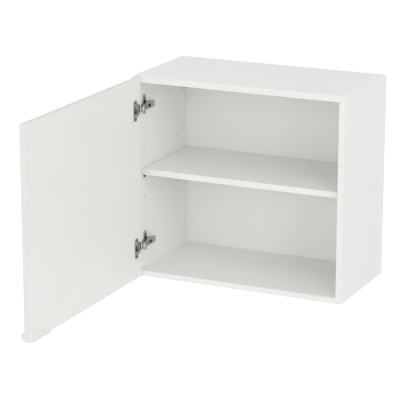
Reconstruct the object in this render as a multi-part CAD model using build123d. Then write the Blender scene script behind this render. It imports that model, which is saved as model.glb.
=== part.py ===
"""Hanging wall cabinet: one shelf and a left-hung door on concealed cup hinges, open at a right angle.

Frame: x runs along the width from the middle, y = 0 is the wall plane and the front faces -y,
z = 0 is the middle of the height. Millimetres.
"""

from build123d import *
import cmath
import math
import os

os.makedirs("parts", exist_ok=True)

# Carcass boards
WIDTH = 600.0
HEIGHT = 548.0
SIDE_DEPTH = 299.0
BOARD = 16.0
BACK_THICKNESS = 3.0
BACK_INSET = 1.0
EDGING = 1.0
EDGING_ROUND = 0.5
FIT = 0.05
SCREW_HEAD_ROUND = 0.45

# Shelf and its supports
SHELF_FRONT_SETBACK = 20.0
SHELF_SIDE_GAP = 1.0
SHELF_BACK_GAP = 1.0
SUPPORT_HOLE_DIAMETER = 5.0
SUPPORT_HOLE_DEPTH = 10.0
SUPPORT_ROW_PITCH = 64.0
SUPPORT_FRONT_COLUMN = 37.0
SUPPORT_COLUMN_SPACING = 196.0
SUPPORT_PIN_LENGTH = 8.0
SUPPORT_PLATE_THICKNESS = 1.6
SUPPORT_PLATE_WIDTH = 10.0
SUPPORT_PLATE_DROP = 9.0
SUPPORT_PLATE_ROUND = 3.0
SUPPORT_TONGUE_REACH = 9.0
SUPPORT_TONGUE_RISE = 3.0

# Corner joints: cam, bolt and dowel
CAM_DIAMETER = 15.0
CAM_FLOOR = 3.5
CAM_FROM_END = 34.0
CAM_SLOT = 7.4
CAM_DRIVE_DEPTH = 1.6
CAM_DRIVE_WIDTH = 2.0
CAM_DRIVE_SPAN = 9.0
CAM_BOLT_SHANK = 5.0
CAM_BOLT_BORE = 8.0
CAM_BOLT_NECK = 4.0
CAM_BOLT_HEAD = 6.6
CAM_BOLT_HEAD_LENGTH = 4.0
CAM_BOLT_SCREW_DEPTH = 10.0
JOINT_FROM_EDGE = 50.0
DOWEL_SPACING = 32.0
DOWEL_DIAMETER = 8.0
DOWEL_IN_SIDE = 9.0
DOWEL_IN_PANEL = 21.0
DOWEL_CHAMFER = 1.0
DOWEL_END_GAP = 1.0

# Back panel nails
NAIL_DIAMETER = 1.6
NAIL_HEAD_DIAMETER = 3.4
NAIL_HEAD_THICKNESS = 0.8
NAIL_LENGTH = 20.0
NAIL_PITCH = 130.0
NAIL_FROM_CORNER = 40.0

# Cabinet hangers in the two upper back corners
HANGER_HEIGHT = 62.0
HANGER_DEPTH = 38.0
HANGER_THICKNESS = 13.0
HANGER_FLANGE = 3.0
HANGER_FLANGE_HEIGHT = 17.0
HANGER_TOP_GAP = 11.0
HANGER_CORNER = 4.0
HANGER_HOLE_DIAMETER = 5.0
HANGER_HOLE_FROM_BACK = 21.0
HANGER_HOLE_FROM_FOOT = 8.0
HANGER_HOLE_PITCH = 28.0
HANGER_SCREW_DEPTH = 11.0
HANGER_SCREW_HEAD = 8.5
HANGER_SCREW_HEAD_HEIGHT = 3.0
HOOK_THICKNESS = 3.0
HOOK_BAR_HEIGHT = 12.0
HOOK_LIP_DROP = 9.0
HOOK_LIP_THICKNESS = 2.2
HOOK_BAR_LENGTH = 11.0
HOOK_FROM_TOP = 16.5
HOOK_CLEARANCE = 0.4
HOOK_SLOT_SIDE = 2.0
HOOK_SLOT_END = 1.5
KNOCKOUT_DEPTH = 1.0
ADJUSTER_DIAMETER = 7.0
ADJUSTER_LENGTH = 9.0
ADJUSTER_STANDOFF = 1.2
ADJUSTER_PITCH = 22.0

# Door
DOOR_THICKNESS = 16.0
DOOR_REVEAL = 1.5
DOOR_SHUT_GAP = 2.0
DOOR_OPEN_INSIDE = 11.0
DOOR_OPEN_GAP = 2.5

# Hinges: cup in the door
HINGE_FROM_END = 86.0
CUP_DIAMETER = 35.0
CUP_TAB = 5.0
CUP_DEPTH = 11.5
CUP_WALL = 0.8
CUP_FLANGE = 1.2
CUP_FLANGE_HEIGHT = 57.0
CUP_FLANGE_WIDTH = 20.0
CUP_FLANGE_CORNER = 8.0
CUP_RIM = 0.5
CUP_SLOT_GAP = 0.3
CUP_SCREW_PITCH = 45.0
CUP_SCREW_OFFSET = 9.5
CUP_SCREW_DIAMETER = 3.5
CUP_SCREW_DEPTH = 11.0
CUP_SCREW_HEAD = 7.4
CUP_SCREW_HEAD_HEIGHT = 2.0

# Hinges: flat closing spring that lies in the cup and bears on the middle link's eye
SPRING_SHEET = 0.6
SPRING_HALF_WIDTH = 4.0
SPRING_TAIL = 30.0
SPRING_BEND = 2.5
SPRING_GAP = 0.3

# Hinges: pivots, as distance from the side panel's inner face and depth behind the carcass's front edge
REAR_PIVOT = (13.0, 7.0)
NOSE_PIVOT = (19.0, -1.8)
EDGE_LINK_PIVOT_DEPTH = 2.2
FORK_LINK_PIVOT_DEPTH = 2.8
EDGE_LINK_KNEE = (6.5, -0.3)
FORK_LINK_KNEE = (5.0, -0.8)
PIVOT_PIN_RADIUS = 1.0
PIVOT_CLEARANCE = 0.05
LINK_EYE_RADIUS = 1.8
LINK_HALF_THICKNESS = 1.2
EDGE_LINK_HALF_WIDTH = 4.8
FORK_GAP = 0.4
FORK_SHEET = 1.8
CUP_PIN_SEAT = 2.2

# Hinges: arm and wing plate on the side panel
ARM_EYE_RADIUS = 2.2
ARM_SIDE_GAP = 0.3
ARM_SHEET = 1.2
ARM_TOP = 13.2
ARM_FOOT_GAP = 2.0
ARM_FRONT = 12.0
ARM_REAR = 75.0
ARM_REAR_SLOPE = 9.0
RIVET_HEAD_RADIUS = 1.5
RIVET_HEAD_HEIGHT = 0.5
PLATE_LINE = 37.0
PLATE_LIFT = 4.0
PLATE_THICKNESS = 2.5
PLATE_WING_HEIGHT = 54.0
PLATE_WING_WIDTH = 15.0
PLATE_SCREW_PITCH = 32.0
PLATE_SCREW_DIAMETER = 5.0
PLATE_SCREW_DEPTH = 12.0
PLATE_SCREW_HEAD = 8.0
PLATE_SCREW_HEAD_HEIGHT = 1.6
HEIGHT_CAM_LINE = 34.0
HEIGHT_CAM_RISE = 12.6
HEIGHT_CAM_DIAMETER = 6.6
HEIGHT_CAM_HEIGHT = 4.8
HEIGHT_CAM_STEM = 3.2
RIDGE_FRONT = 20.0
RIDGE_LENGTH = 48.0
RIDGE_HALF_WIDTH = 6.4
RIDGE_ROUND = 3.0
FIXING_SCREW_LINE = 45.0
OVERLAY_SCREW_LINE = 27.0
ARM_SCREW_DIAMETER = 5.0
ARM_SCREW_DEPTH = 8.0
FIXING_HEAD_DIAMETER = 9.0
FIXING_HEAD_HEIGHT = 2.2
OVERLAY_HEAD_DIAMETER = 6.6
OVERLAY_HEAD_HEIGHT = 0.8

# Handle that wraps the door's bottom edge near the free corner
HANDLE_FROM_EDGE = 13.0
HANDLE_LENGTH = 86.0
HANDLE_WEB = 3.0
HANDLE_FLANGE = 1.5
HANDLE_FLANGE_HEIGHT = 18.0
HANDLE_FLANGE_STRAIGHT = 40.0
HANDLE_GRIP_HEIGHT = 22.0
HANDLE_GRIP_SHOULDER = 8.8
HANDLE_GRIP_REACH = 18.0
HANDLE_GRIP_FOOT = 10.0
HANDLE_GRIP_ROUND = 6.0
HANDLE_SCREW_SPACING = 50.0
HANDLE_SCREW_DIAMETER = 3.5
HANDLE_SCREW_DEPTH = 18.0
HANDLE_SCREW_HEAD = 6.8
HANDLE_SCREW_HEAD_HEIGHT = 1.8

# Planes that the boards share
LEFT = -WIDTH / 2
RIGHT = WIDTH / 2
TOP = HEIGHT / 2
BOTTOM = -HEIGHT / 2
FRONT = -(SIDE_DEPTH + BACK_THICKNESS)
BACK = -BACK_THICKNESS
INNER_LEFT = LEFT + BOARD
INNER_RIGHT = RIGHT - BOARD
DOOR_WIDTH = WIDTH - 2 * DOOR_REVEAL
DOOR_FACE = INNER_LEFT + DOOR_OPEN_INSIDE
DOOR_EDGE = FRONT - DOOR_OPEN_GAP
DOOR_TOP = TOP - DOOR_REVEAL
DOOR_BOTTOM = BOTTOM + DOOR_REVEAL
CUP_CENTRE = CUP_TAB + CUP_DIAMETER / 2
SUPPORT_RADIUS = SUPPORT_HOLE_DIAMETER / 2

# Layers of a hinge, counted from its middle level
FORK_INNER = EDGE_LINK_HALF_WIDTH + FORK_GAP
FORK_OUTER = FORK_INNER + FORK_SHEET
ARM_CHEEK_INNER = FORK_OUTER + ARM_SIDE_GAP
ARM_CHEEK_OUTER = ARM_CHEEK_INNER + ARM_SHEET
CUP_SLOT_HALF = ARM_CHEEK_OUTER + RIVET_HEAD_HEIGHT + CUP_SLOT_GAP
CUP_PIN_HALF_LENGTH = CUP_SLOT_HALF + CUP_PIN_SEAT
ARM_FOOT = PLATE_THICKNESS + ARM_FOOT_GAP
ARM_WAIST = (ARM_TOP + ARM_FOOT) / 2


def block(low, high):
    """Box between two corners."""
    sizes = [high[i] - low[i] for i in range(3)]
    return Pos(*low) * Box(*sizes, align=(Align.MIN, Align.MIN, Align.MIN))


def rod(start, direction, radius, length):
    """Round bar from a point along a direction."""
    place = Plane(origin=start, z_dir=direction).location
    return place * Cylinder(radius, length, align=(Align.CENTER, Align.CENTER, Align.MIN))


def screw(seat, direction, shank_radius, depth, head_radius, head_height):
    """Pan-head screw: the head stands on its seat, the shank runs on along the direction."""
    back = Vector(*direction) * -head_height
    head = rod(Vector(*seat) + back, direction, head_radius, head_height)
    crown = head.edges().filter_by(GeomType.CIRCLE).sort_by_distance(Vector(*seat) + back)[0]
    head = fillet(crown, min(head_height, head_radius) * SCREW_HEAD_ROUND)
    return head + rod(seat, direction, shank_radius, depth)


def merged(solids):
    """One shape of several solids, for cutting or writing as a group."""
    return Compound(children=[s for item in solids for s in item.solids()])


def write(name, shape):
    """Writes one piece, or a group of like pieces, under its own name."""
    export_step(shape, os.path.join("parts", name + ".step"))


def strip(low, high, outward):
    """Edge band whose long outer edges are eased; outward is the index and sign of its bare face."""
    axis, sign = outward
    band = block(low, high)
    outer = band.faces().sort_by((Axis.X, Axis.Y, Axis.Z)[axis])[-1 if sign > 0 else 0]
    lengths = [high[i] - low[i] for i in range(3)]
    run = (Axis.X, Axis.Y, Axis.Z)[lengths.index(max(lengths))]
    return fillet(outer.edges().filter_by(run), EDGING_ROUND)


def door_point(along, depth, height):
    """Point of the open door: along from the hinge edge, depth from its inner face."""
    return (DOOR_FACE - depth, DOOR_EDGE - along, height)


def door_block(along, depth, height):
    """Box on the open door between two distances along, two depths and two heights."""
    low = (DOOR_FACE - depth[1], DOOR_EDGE - along[1], height[0])
    high = (DOOR_FACE - depth[0], DOOR_EDGE - along[0], height[1])
    return block(low, high)


def carcass_point(out, behind):
    """Plan point given from the left side panel's inner face and the carcass's front edge."""
    return (INNER_LEFT + out, FRONT + behind)


# Back panel nails and their holes
def nail(x, z):
    head = rod((x, 0, z), (0, -1, 0), NAIL_HEAD_DIAMETER / 2, NAIL_HEAD_THICKNESS)
    return head + rod((x, 0, z), (0, -1, 0), NAIL_DIAMETER / 2, NAIL_LENGTH)


def spread(length):
    """Even places along an edge, about one nail pitch apart."""
    count = max(2, round(length / NAIL_PITCH))
    return [length * (i / (count - 1) - 0.5) for i in range(count)]


NAIL_LINE_X = WIDTH / 2 - BOARD / 2
NAIL_LINE_Z = HEIGHT / 2 - BOARD / 2
side_run = HEIGHT - 2 * NAIL_FROM_CORNER
level_run = WIDTH - 2 * NAIL_FROM_CORNER
nails = [nail(side * NAIL_LINE_X, z) for side in (-1, 1) for z in spread(side_run)]
nails += [nail(x, side * NAIL_LINE_Z) for side in (-1, 1) for x in spread(level_run)]
nail_group = merged(nails)

# Corner joints between the sides and the top and bottom panels
JOINT_LINES = (FRONT + JOINT_FROM_EDGE, BACK - JOINT_FROM_EDGE)
DOWEL_LINES = (JOINT_LINES[0] + DOWEL_SPACING, JOINT_LINES[1] - DOWEL_SPACING)
PANEL_MIDS = (TOP - BOARD / 2, BOTTOM + BOARD / 2)
CAM_DEPTH = BOARD - CAM_FLOOR
SIDES = (-1, 1)


def cam_bolt(side, y, z):
    """Bolt screwed into a side panel, its head held by the cam."""
    seat = (side * (WIDTH / 2 - BOARD), y, z)
    inward = (-side, 0, 0)
    shank = rod(seat, (side, 0, 0), CAM_BOLT_SHANK / 2, CAM_BOLT_SCREW_DEPTH)
    neck_length = CAM_FROM_END - CAM_BOLT_HEAD_LENGTH / 2
    neck = rod(seat, inward, CAM_BOLT_NECK / 2, neck_length)
    head_at = (seat[0] - side * neck_length, y, z)
    return shank + neck + rod(head_at, inward, CAM_BOLT_HEAD / 2, CAM_BOLT_HEAD_LENGTH)


def cam_housing(side, y, z):
    """Cam drum let into the underside of a panel, slotted for the bolt's head."""
    x = side * (WIDTH / 2 - BOARD - CAM_FROM_END)
    face = z - BOARD / 2
    drum = rod((x, y, face), (0, 0, 1), CAM_DIAMETER / 2 - FIT, CAM_DEPTH)
    reach = CAM_DIAMETER / 2
    half = CAM_SLOT / 2
    inner, outer = sorted((x - side * half, x + side * reach))
    slot = block((inner, y - half, z - half), (outer, y + half, face + CAM_DEPTH))
    drive = Pos(x, y, face + CAM_DRIVE_DEPTH / 2)
    cross = drive * Box(CAM_DRIVE_SPAN, CAM_DRIVE_WIDTH, CAM_DRIVE_DEPTH)
    cross += drive * Box(CAM_DRIVE_WIDTH, CAM_DRIVE_SPAN, CAM_DRIVE_DEPTH)
    return drum - slot - cross


def dowel(side, y, z):
    start = (side * (WIDTH / 2 - BOARD + DOWEL_IN_SIDE), y, z)
    length = DOWEL_IN_SIDE + DOWEL_IN_PANEL
    peg = rod(start, (-side, 0, 0), DOWEL_DIAMETER / 2 - FIT, length)
    return chamfer(peg.edges().filter_by(GeomType.CIRCLE), DOWEL_CHAMFER)


bolt_group = merged([cam_bolt(s, y, z) for s in SIDES for y in JOINT_LINES for z in PANEL_MIDS])
cam_group = merged([cam_housing(s, y, z) for s in SIDES for y in JOINT_LINES for z in PANEL_MIDS])
dowel_group = merged([dowel(s, y, z) for s in SIDES for y in DOWEL_LINES for z in PANEL_MIDS])


def joint_holes(side, z):
    """Holes of one corner joint, through the side panel's face into the panel's end."""
    face = side * (WIDTH / 2 - BOARD)
    holes = []
    for y in JOINT_LINES:
        holes.append(rod((face, y, z), (side, 0, 0), CAM_BOLT_SHANK / 2, CAM_BOLT_SCREW_DEPTH))
        holes.append(rod((face, y, z), (-side, 0, 0), CAM_BOLT_BORE / 2, CAM_FROM_END))
        x = face - side * CAM_FROM_END
        holes.append(rod((x, y, z - BOARD / 2), (0, 0, 1), CAM_DIAMETER / 2, CAM_DEPTH))
    for y in DOWEL_LINES:
        start = (face + side * (DOWEL_IN_SIDE + DOWEL_END_GAP), y, z)
        length = DOWEL_IN_SIDE + DOWEL_IN_PANEL + 2 * DOWEL_END_GAP
        holes.append(rod(start, (-side, 0, 0), DOWEL_DIAMETER / 2, length))
    return merged(holes)


# Side panels with their rows of holes
SUPPORT_LINES = (FRONT + SUPPORT_FRONT_COLUMN, FRONT + SUPPORT_FRONT_COLUMN + SUPPORT_COLUMN_SPACING)
SUPPORT_ROWS = (-SUPPORT_ROW_PITCH, 0.0, SUPPORT_ROW_PITCH)
HANGER_LINE = -HANGER_HOLE_FROM_BACK
HANGER_TOP = TOP - BOARD - HANGER_TOP_GAP
HANGER_BOTTOM = HANGER_TOP - HANGER_HEIGHT
HANGER_LOW_ROW = HANGER_BOTTOM + HANGER_HOLE_FROM_FOOT
HANGER_ROWS = (HANGER_LOW_ROW, HANGER_LOW_ROW + HANGER_HOLE_PITCH)
HINGE_LEVELS = (TOP - HINGE_FROM_END, BOTTOM + HINGE_FROM_END)
PLATE_SCREW_ROWS = (PLATE_LIFT + PLATE_SCREW_PITCH / 2, PLATE_LIFT - PLATE_SCREW_PITCH / 2)


def side_panel(side):
    face = side * (WIDTH / 2 - BOARD)
    low_x, high_x = sorted((face, side * WIDTH / 2))
    low = (low_x, FRONT + EDGING, BOTTOM + EDGING)
    board = block(low, (high_x, BACK, TOP - EDGING))
    into = (side, 0, 0)
    for y in SUPPORT_LINES:
        for z in SUPPORT_ROWS:
            board -= rod((face, y, z), into, SUPPORT_RADIUS, SUPPORT_HOLE_DEPTH)
    for row in HANGER_ROWS:
        for z in (row, -row):
            board -= rod((face, HANGER_LINE, z), into, HANGER_HOLE_DIAMETER / 2, HANGER_SCREW_DEPTH)
    for z in PANEL_MIDS:
        board -= joint_holes(side, z)
    return board - nail_group


def level_panel(z):
    """Top or bottom panel between the sides."""
    low = (INNER_LEFT, FRONT + EDGING, z - BOARD / 2)
    board = block(low, (INNER_RIGHT, BACK, z + BOARD / 2))
    for side in SIDES:
        board -= joint_holes(side, z)
    return board - nail_group


left_panel = side_panel(-1)
for level in HINGE_LEVELS:
    for row in PLATE_SCREW_ROWS:
        start = (INNER_LEFT, FRONT + PLATE_LINE, level + row)
        left_panel -= rod(start, (-1, 0, 0), PLATE_SCREW_DIAMETER / 2, PLATE_SCREW_DEPTH)
write("left_side_panel", left_panel)
write("right_side_panel", side_panel(1))
write("top_panel", level_panel(PANEL_MIDS[0]))
write("bottom_panel", level_panel(PANEL_MIDS[1]))
write("cam_bolts", bolt_group)
write("cam_housings", cam_group)
write("corner_dowels", dowel_group)
write("back_panel_nails", nail_group)

# Edge bands on the fronts of the four boards and on the ends of the sides
bands = []
for side in SIDES:
    low_x, high_x = sorted((side * (WIDTH / 2 - BOARD), side * WIDTH / 2))
    bands.append(strip((low_x, FRONT, BOTTOM), (high_x, FRONT + EDGING, TOP), (1, -1)))
    bands.append(strip((low_x, FRONT + EDGING, TOP - EDGING), (high_x, BACK, TOP), (2, 1)))
    bands.append(strip((low_x, FRONT + EDGING, BOTTOM), (high_x, BACK, BOTTOM + EDGING), (2, -1)))
for mid in PANEL_MIDS:
    low = (INNER_LEFT, FRONT, mid - BOARD / 2)
    bands.append(strip(low, (INNER_RIGHT, FRONT + EDGING, mid + BOARD / 2), (1, -1)))
write("carcass_edging", merged(bands))

# Cabinet hangers: body screwed to the side, hook through the back, two adjusting screws
HOOK_TOP = HANGER_TOP - HOOK_FROM_TOP
HOOK_LOW = HOOK_TOP - HOOK_BAR_HEIGHT
HOOK_LIP_LOW = HOOK_LOW - HOOK_LIP_DROP


def hanger_middle(side):
    return side * (WIDTH / 2 - BOARD - HANGER_THICKNESS / 2)


def hook_shape(side, grow):
    """Flat steel hook: a bar that leaves the body backwards and a lip that turns down."""
    half = HOOK_THICKNESS / 2 + grow
    x = hanger_middle(side)
    bar_low = (x - half, BACK - HOOK_BAR_LENGTH - grow, HOOK_LOW - grow)
    bar = block(bar_low, (x + half, -HOOK_CLEARANCE, HOOK_TOP + grow))
    lip_low = (x - half, -HOOK_CLEARANCE - HOOK_LIP_THICKNESS - grow, HOOK_LIP_LOW - grow)
    return bar + block(lip_low, (x + half, -HOOK_CLEARANCE, HOOK_LOW + grow))


def adjuster_places():
    mid = (HANGER_TOP + HANGER_BOTTOM + HANGER_FLANGE_HEIGHT) / 2
    return (mid + ADJUSTER_PITCH / 2, mid - ADJUSTER_PITCH / 2)


def adjuster(side, z):
    front = BACK - HANGER_DEPTH - ADJUSTER_STANDOFF
    length = ADJUSTER_LENGTH + ADJUSTER_STANDOFF
    return rod((hanger_middle(side), front, z), (0, 1, 0), ADJUSTER_DIAMETER / 2, length)


def hanger_screw(side, z):
    seat = (side * (WIDTH / 2 - BOARD - HANGER_FLANGE), HANGER_LINE, z)
    depth = HANGER_FLANGE + HANGER_SCREW_DEPTH
    shank = HANGER_HOLE_DIAMETER / 2
    return screw(seat, (side, 0, 0), shank, depth, HANGER_SCREW_HEAD / 2, HANGER_SCREW_HEAD_HEIGHT)


def hanger_body(side):
    """Housing on a flat flange that both screws pass through."""
    face = side * (WIDTH / 2 - BOARD)
    seat_x = face - side * HANGER_FLANGE
    low_x, high_x = sorted((face, face - side * HANGER_THICKNESS))
    step = HANGER_BOTTOM + HANGER_FLANGE_HEIGHT
    body = block((low_x, BACK - HANGER_DEPTH, step), (high_x, BACK, HANGER_TOP))
    room = body.faces().sort_by(Axis.X)[0 if side > 0 else -1]
    body = fillet(room.edges().filter_by(Axis.Z) + room.edges().filter_by(Axis.Y), HANGER_CORNER)
    low_x, high_x = sorted((face, seat_x))
    flange = block((low_x, BACK - HANGER_DEPTH, HANGER_BOTTOM), (high_x, BACK, step))
    body += fillet(flange.edges().filter_by(Axis.X).group_by(Axis.Z)[0], HANGER_CORNER)
    body -= hook_shape(side, HOOK_CLEARANCE)
    for z in adjuster_places():
        body -= adjuster(side, z)
    for z in HANGER_ROWS:
        seat = (seat_x, HANGER_LINE, z)
        body -= rod(seat, (side, 0, 0), HANGER_HOLE_DIAMETER / 2, HANGER_FLANGE)
        body -= rod(seat, (-side, 0, 0), HANGER_SCREW_HEAD / 2 + HOOK_CLEARANCE, HANGER_THICKNESS)
    return body


for side, name in ((-1, "left"), (1, "right")):
    write(name + "_hanger_body", hanger_body(side))
    write(name + "_hanger_hook", hook_shape(side, 0.0))
write("hanger_adjusting_screws", merged([adjuster(s, z) for s in SIDES for z in adjuster_places()]))
write("hanger_screws", merged([hanger_screw(s, z) for s in SIDES for z in HANGER_ROWS]))

# Back panel with a slot for each hook, and the same slots half cut at its foot, to be knocked out
back_low = (LEFT + BACK_INSET, BACK, BOTTOM + BACK_INSET)
back_panel = block(back_low, (RIGHT - BACK_INSET, 0, TOP - BACK_INSET)) - nail_group
slot_low = HOOK_LIP_LOW - HOOK_SLOT_END
slot_high = HOOK_TOP + HOOK_SLOT_END
for side in SIDES:
    half = HOOK_THICKNESS / 2 + HOOK_SLOT_SIDE
    x = hanger_middle(side)
    back_panel -= block((x - half, BACK, slot_low), (x + half, 0, slot_high))
    back_panel -= block((x - half, BACK, -slot_high), (x + half, BACK + KNOCKOUT_DEPTH, -slot_low))
write("back_panel", back_panel)

# Shelf, laid on four supports plugged into the middle row of holes
SHELF_LOW = SUPPORT_TONGUE_RISE
SHELF_FRONT = FRONT + SHELF_FRONT_SETBACK
shelf_low = (INNER_LEFT + SHELF_SIDE_GAP, SHELF_FRONT, SHELF_LOW)
shelf_high = (INNER_RIGHT - SHELF_SIDE_GAP, BACK - SHELF_BACK_GAP, SHELF_LOW + BOARD)
core_low = (shelf_low[0], SHELF_FRONT + EDGING, SHELF_LOW)
write("shelf_board", block(core_low, shelf_high))
band_high = (shelf_high[0], SHELF_FRONT + EDGING, shelf_high[2])
write("shelf_edging", strip(shelf_low, band_high, (1, -1)))


def shelf_support(side, y):
    """Bent metal support: pin in the side panel, plate down the wall, tongue under the shelf."""
    face = side * (WIDTH / 2 - BOARD)
    pin = rod((face, y, 0), (side, 0, 0), SUPPORT_RADIUS - FIT, SUPPORT_PIN_LENGTH)
    half = SUPPORT_PLATE_WIDTH / 2
    low_x, high_x = sorted((face, face - side * SUPPORT_PLATE_THICKNESS))
    plate = block((low_x, y - half, -SUPPORT_PLATE_DROP), (high_x, y + half, SUPPORT_TONGUE_RISE))
    plate = fillet(plate.edges().filter_by(Axis.X).group_by(Axis.Z)[0], SUPPORT_PLATE_ROUND)
    low_x, high_x = sorted((face, face - side * SUPPORT_TONGUE_REACH))
    tongue_low = (low_x, y - half, SUPPORT_TONGUE_RISE - SUPPORT_PLATE_THICKNESS)
    tongue = block(tongue_low, (high_x, y + half, SUPPORT_TONGUE_RISE))
    return pin + plate + tongue


write("shelf_supports", merged([shelf_support(s, y) for s in SIDES for y in SUPPORT_LINES]))

# Door panel and its edge bands
HANDLE_FAR = DOOR_WIDTH - HANDLE_FROM_EDGE
HANDLE_NEAR = HANDLE_FAR - HANDLE_LENGTH
HANDLE_MIDDLE = (HANDLE_FAR + HANDLE_NEAR) / 2
handle_screw_places = [HANDLE_MIDDLE + s * HANDLE_SCREW_SPACING / 2 for s in SIDES]


def handle_screw(along):
    seat_z = DOOR_BOTTOM - HANDLE_WEB + HANDLE_SCREW_HEAD_HEIGHT
    seat = door_point(along, DOOR_THICKNESS / 2, seat_z)
    depth = HANDLE_SCREW_DEPTH
    radius = HANDLE_SCREW_DIAMETER / 2
    return screw(seat, (0, 0, 1), radius, depth, HANDLE_SCREW_HEAD / 2, HANDLE_SCREW_HEAD_HEIGHT)


def cup_screw(level, row):
    seat = door_point(CUP_CENTRE + CUP_SCREW_OFFSET, -CUP_FLANGE, level + row)
    depth = CUP_FLANGE + CUP_SCREW_DEPTH
    radius = CUP_SCREW_DIAMETER / 2
    return screw(seat, (-1, 0, 0), radius, depth, CUP_SCREW_HEAD / 2, CUP_SCREW_HEAD_HEIGHT)


CUP_SCREW_ROWS = (CUP_SCREW_PITCH / 2, -CUP_SCREW_PITCH / 2)
cup_screws = merged([cup_screw(level, row) for level in HINGE_LEVELS for row in CUP_SCREW_ROWS])
handle_screws = merged([handle_screw(along) for along in handle_screw_places])

core_along = (EDGING, DOOR_WIDTH - EDGING)
full_depth = (0, DOOR_THICKNESS)
door = door_block(core_along, full_depth, (DOOR_BOTTOM + EDGING, DOOR_TOP - EDGING))
for level in HINGE_LEVELS:
    door -= rod(door_point(CUP_CENTRE, 0, level), (-1, 0, 0), CUP_DIAMETER / 2, CUP_DEPTH)
door -= cup_screws
door -= handle_screws
write("door_panel", door)

low = door_point(EDGING, DOOR_THICKNESS, DOOR_BOTTOM)
high = door_point(0, 0, DOOR_TOP)
door_bands = [strip(low, high, (1, 1))]
low = door_point(DOOR_WIDTH, DOOR_THICKNESS, DOOR_BOTTOM)
high = door_point(DOOR_WIDTH - EDGING, 0, DOOR_TOP)
door_bands.append(strip(low, high, (1, -1)))
for edge, sign in ((DOOR_TOP, 1), (DOOR_BOTTOM, -1)):
    low_z, high_z = sorted((edge, edge - sign * EDGING))
    low = door_point(DOOR_WIDTH - EDGING, DOOR_THICKNESS, low_z)
    door_bands.append(strip(low, door_point(EDGING, 0, high_z), (2, sign)))
write("door_edging", merged(door_bands) - handle_screws)
write("cup_screws", cup_screws)
write("handle_screws", handle_screws)


# Handle: inner flange, web under the door's edge and a rounded grip in front
def handle():
    face = DOOR_THICKNESS
    reach = face + HANDLE_GRIP_REACH
    shoulder = HANDLE_GRIP_SHOULDER
    outline = [
        Line((-HANDLE_FLANGE, -HANDLE_WEB), (-HANDLE_FLANGE, HANDLE_FLANGE_HEIGHT)),
        Line((-HANDLE_FLANGE, HANDLE_FLANGE_HEIGHT), (0, HANDLE_FLANGE_HEIGHT)),
        Line((0, HANDLE_FLANGE_HEIGHT), (0, 0)),
        Line((0, 0), (face, 0)),
        Line((face, 0), (face, HANDLE_GRIP_HEIGHT)),
        EllipticalCenterArc((face, shoulder), HANDLE_GRIP_REACH, HANDLE_GRIP_HEIGHT - shoulder, arc_size=90),
        Line((reach, shoulder), (face + HANDLE_GRIP_FOOT, -HANDLE_WEB)),
        Line((face + HANDLE_GRIP_FOOT, -HANDLE_WEB), (-HANDLE_FLANGE, -HANDLE_WEB)),
    ]
    across = Plane(origin=door_point(HANDLE_FAR, 0, DOOR_BOTTOM), x_dir=(-1, 0, 0), z_dir=(0, 1, 0))
    body = extrude(across * make_face(outline), HANDLE_LENGTH)
    knuckle = body.edges().filter_by(Axis.Y).sort_by_distance(door_point(HANDLE_MIDDLE, reach, DOOR_BOTTOM))
    body = fillet(knuckle[0], HANDLE_GRIP_ROUND)
    run = HANDLE_LENGTH - HANDLE_FLANGE_STRAIGHT
    sweep = EllipticalCenterArc((0, 0), run, HANDLE_FLANGE_HEIGHT, start_angle=90, arc_size=90)
    trim = [
        Line((-run, 0), (-run, HANDLE_FLANGE_HEIGHT)),
        Line((-run, HANDLE_FLANGE_HEIGHT), (0, HANDLE_FLANGE_HEIGHT)),
        sweep,
    ]
    start = door_point(HANDLE_NEAR + run, -HANDLE_FLANGE, DOOR_BOTTOM)
    beside = Plane(origin=start, x_dir=(0, -1, 0), z_dir=(-1, 0, 0))
    return body - extrude(beside * make_face(trim), HANDLE_FLANGE)


write("door_handle", handle() - handle_screws)


# Hinge pivots: each link is as long with the door shut as with it open
def cup_pivot(arm_pivot, depth):
    """Distance of a link's cup pivot from the hinge edge, for its pivot on the arm and its depth."""
    out, behind = arm_pivot
    shut_x = DOOR_REVEAL - BOARD - out
    shut_y = -DOOR_SHUT_GAP - depth - behind
    open_x = DOOR_OPEN_INSIDE - depth - out
    open_y = -DOOR_OPEN_GAP - behind
    return (open_x**2 + open_y**2 - shut_x**2 - shut_y**2) / (2 * (shut_x + open_y))


def link_turn(arm_pivot, along, depth):
    """Turn of a link as the door shuts, in degrees."""
    base = complex(*arm_pivot)
    opened = complex(DOOR_OPEN_INSIDE - depth, -DOOR_OPEN_GAP - along) - base
    shut = complex(DOOR_REVEAL - BOARD + along, -DOOR_SHUT_GAP - depth) - base
    return math.degrees(cmath.phase(shut / opened))


EDGE_ALONG = cup_pivot(REAR_PIVOT, EDGE_LINK_PIVOT_DEPTH)
FORK_ALONG = cup_pivot(NOSE_PIVOT, FORK_LINK_PIVOT_DEPTH)
rear_pivot = carcass_point(*REAR_PIVOT)
nose_pivot = carcass_point(*NOSE_PIVOT)
edge_pivot = door_point(EDGE_ALONG, EDGE_LINK_PIVOT_DEPTH, 0)[:2]
fork_pivot = door_point(FORK_ALONG, FORK_LINK_PIVOT_DEPTH, 0)[:2]
print("rear pivot", rear_pivot, "nose pivot", nose_pivot)
print("edge pivot", edge_pivot, "fork pivot", fork_pivot)
print("edge link turn", link_turn(REAR_PIVOT, EDGE_ALONG, EDGE_LINK_PIVOT_DEPTH))
print("fork link turn", link_turn(NOSE_PIVOT, FORK_ALONG, FORK_LINK_PIVOT_DEPTH))


def beside(point, offset):
    return (point[0] + offset[0], point[1] + offset[1])


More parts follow.
